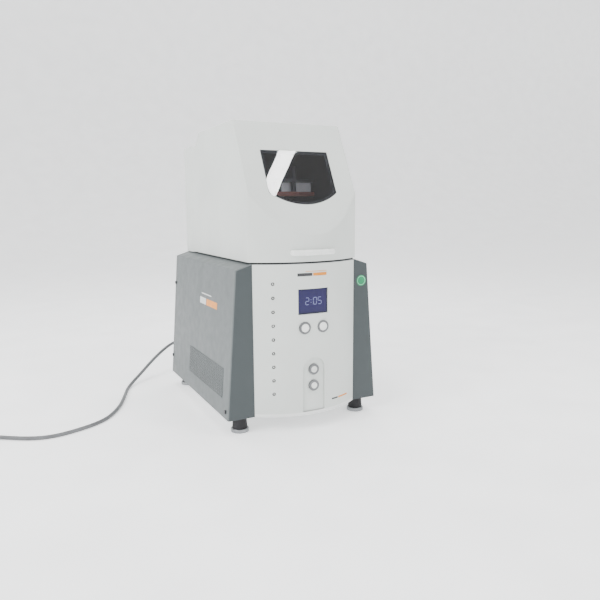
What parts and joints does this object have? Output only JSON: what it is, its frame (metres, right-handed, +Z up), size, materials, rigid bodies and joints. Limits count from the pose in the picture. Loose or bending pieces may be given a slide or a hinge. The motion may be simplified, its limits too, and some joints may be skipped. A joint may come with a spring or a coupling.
{
  "type": "mixer mill",
  "caption": "Laboratory mixer mill: tapered grey cabinet on feet, tilting lid with a window over a sample clamp, crank-driven vertical shaking, curved control front and mains cord.",
  "frame": {"origin": "centre of the machine's bounding box at the floor, measured without the mains cord", "axes": "+Z up, -Y to the curved control front, +X to the machine's right as seen from the front"},
  "size_m": [0.9456, 0.6442, 0.676],
  "materials": {
    "shell_light_grey": "satin",
    "panel_grey": "satin powder coat",
    "frame_steel": "satin",
    "pan_light": "satin",
    "black_rubber": "matt",
    "foot_disc": "dull",
    "black_foam": "matt",
    "dark_pane": "gloss",
    "black_screws": "satin",
    "bright_steel": "turned",
    "cast_alloy": "cast",
    "cast_iron": "cast",
    "bronze": "turned",
    "clamp_red_brown": "anodised",
    "clamp_dark": "satin",
    "plate_white": "moulded",
    "display_blue": "gloss",
    "board_green": "satin",
    "button_white": "satin",
    "bezel_metal": "satin",
    "black_plastic": "moulded",
    "motor_grey": "painted",
    "belt_rubber": "matt",
    "cord_grey": "matt"
  },
  "bodies": {
    "cabinet": {"base_pan": "pan_light", "foot_bodies": "black_rubber", "foot_pads": "foot_disc", "left_frame_plate": "frame_steel", "right_frame_plate": "frame_steel", "top_deck": "frame_steel", "deck_gasket": "black_rubber", "front_fascia": "shell_light_grey", "left_side_panel": "panel_grey", "right_side_panel": "panel_grey", "side_screws": "black_screws", "rear_panel": "panel_grey", "rear_housing": "shell_light_grey", "chamber_wall": "frame_steel", "hinge_base_leaves": "bright_steel", "hinge_pins": "bright_steel", "display_lens": "display_blue", "lcd_module": "black_plastic", "control_board": "board_green", "button_bezels": "bezel_metal", "bearing_block": "cast_iron", "crank_bearings": "bright_steel", "guide_block": "cast_alloy", "guide_bushings": "bronze", "motor_body": "motor_grey", "motor_bracket": "frame_steel", "drive_belt": "belt_rubber", "fan_frame": "black_plastic", "power_inlet": "black_plastic", "motor_drive": "cast_alloy", "cord_connector": "cord_grey", "cord_run": "cord_grey", "cord_coil": "cord_grey", "mains_plug": "cord_grey"},
    "lid": {"lid_shell": "shell_light_grey", "window_pane": "dark_pane", "lid_handle": "shell_light_grey", "lid_liners": "black_foam", "hinge_lid_leaves": "bright_steel"},
    "carriage": {"crosshead": "cast_alloy", "guide_shafts": "bright_steel", "wrist_pin": "bright_steel", "clamp_base": "clamp_red_brown", "clamp_posts": "clamp_dark", "sample_plates": "plate_white"},
    "clamp_plate": {"clamp_plate": "clamp_dark"},
    "front_knob": {"front_clamp_knob": "black_plastic"},
    "rear_knob": {"rear_clamp_knob": "black_plastic"},
    "con_rod": {"con_rod": "cast_alloy", "rod_bearings": "bronze", "crank_pin": "bright_steel"},
    "crank": {"crankshaft": "bright_steel", "crank_pulley": "cast_alloy"},
    "motor_rotor": {"motor_pulley": "bright_steel"},
    "fan": {"fan_rotor": "black_plastic"},
    "left_key": {"left_soft_key": "button_white"},
    "right_key": {"right_soft_key": "button_white"},
    "start_button": {"start_button": "button_white"},
    "stop_button": {"stop_button": "button_white"},
    "rocker": {"power_rocker": "black_plastic"}
  },
  "joints": [
    {"name": "lid_hinge", "type": "hinge", "parent": "cabinet", "child": "lid", "pos_m": [0, 0.18354, 0.6512], "axis": [-1, 0, 0], "range_deg": [0, 80]},
    {"name": "carriage_stroke", "type": "slide", "parent": "cabinet", "child": "carriage", "axis": [0, 0, 1], "range_m": [0, 0.03175]},
    {"name": "clamp_plate_lift", "type": "slide", "parent": "carriage", "child": "clamp_plate", "axis": [0, 0, 1], "range_m": [0, 0.025]},
    {"name": "front_knob_spin", "type": "hinge", "parent": "clamp_plate", "child": "front_knob", "pos_m": [0, -0.073, 0.56], "axis": [0, 0, 1], "continuous": true},
    {"name": "rear_knob_spin", "type": "hinge", "parent": "clamp_plate", "child": "rear_knob", "pos_m": [0, 0.077, 0.56], "axis": [0, 0, 1], "continuous": true},
    {"name": "con_rod_swing", "type": "hinge", "parent": "carriage", "child": "con_rod", "pos_m": [0, 0.002, 0.23513], "axis": [0, 1, 0], "range_deg": [-6, 6]},
    {"name": "crank_spin", "type": "hinge", "parent": "cabinet", "child": "crank", "pos_m": [0, 0.1, 0.101], "axis": [0, 1, 0], "continuous": true},
    {"name": "motor_spin", "type": "hinge", "parent": "cabinet", "child": "motor_rotor", "pos_m": [0, 0.15, 0.265], "axis": [0, 1, 0], "continuous": true},
    {"name": "fan_spin", "type": "hinge", "parent": "cabinet", "child": "fan", "pos_m": [0.062, 0.23829, 0.29], "axis": [0, 1, 0], "continuous": true},
    {"name": "left_key_press", "type": "slide", "parent": "cabinet", "child": "left_key", "axis": [0, 1, 0], "range_m": [0, 0.0015], "stiffness_N_per_m": 400, "springref_m": -0.001},
    {"name": "right_key_press", "type": "slide", "parent": "cabinet", "child": "right_key", "axis": [0, 1, 0], "range_m": [0, 0.0015], "stiffness_N_per_m": 400, "springref_m": -0.001},
    {"name": "start_press", "type": "slide", "parent": "cabinet", "child": "start_button", "axis": [0, 1, 0], "range_m": [0, 0.0015], "stiffness_N_per_m": 400, "springref_m": -0.001},
    {"name": "stop_press", "type": "slide", "parent": "cabinet", "child": "stop_button", "axis": [0, 1, 0], "range_m": [0, 0.0015], "stiffness_N_per_m": 400, "springref_m": -0.001},
    {"name": "power_rocker_tilt", "type": "hinge", "parent": "cabinet", "child": "rocker", "pos_m": [-0.042, 0.25129, 0.105], "axis": [-1, 0, 0], "range_deg": [0, 14]}
  ],
  "couplings": [
    {"joint": "motor_spin", "follows": "crank_spin", "ratio": 2}
  ]
}
